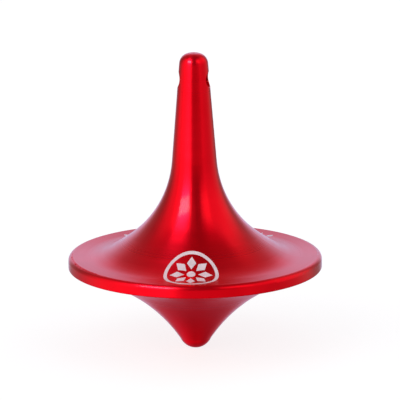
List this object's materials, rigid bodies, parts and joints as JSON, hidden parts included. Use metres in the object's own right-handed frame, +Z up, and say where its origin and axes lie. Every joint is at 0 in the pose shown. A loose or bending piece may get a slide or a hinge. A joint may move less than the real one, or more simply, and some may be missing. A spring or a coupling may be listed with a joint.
{
  "type": "spinning top",
  "caption": "Finger-spun turned metal top: tapered stem with a cross hole, flared body, thin round flange, concave underside and ball nose.",
  "frame": {"origin": "lowest point of the tip ball, where the top touches what it spins on", "axes": "+Z up along the spin axis towards the stem's end, X along the cross hole, front emblem facing about -Y"},
  "size_m": [0.045, 0.045, 0.0535],
  "materials": {
    "anodised_body": "red anodised, fine turned",
    "tip_ball": "polished",
    "bright_marks": "bare, matt"
  },
  "bodies": {
    "tip": {"tip_ball": "tip_ball"},
    "spinner": {"top_body": "anodised_body", "front_emblem": "bright_marks", "back_marks": "bright_marks"}
  },
  "joints": [
    {"name": "spin", "type": "hinge", "parent": "tip", "child": "spinner", "pos_m": [0, 0, 0.0015], "axis": [0, 0, 1], "continuous": true}
  ]
}
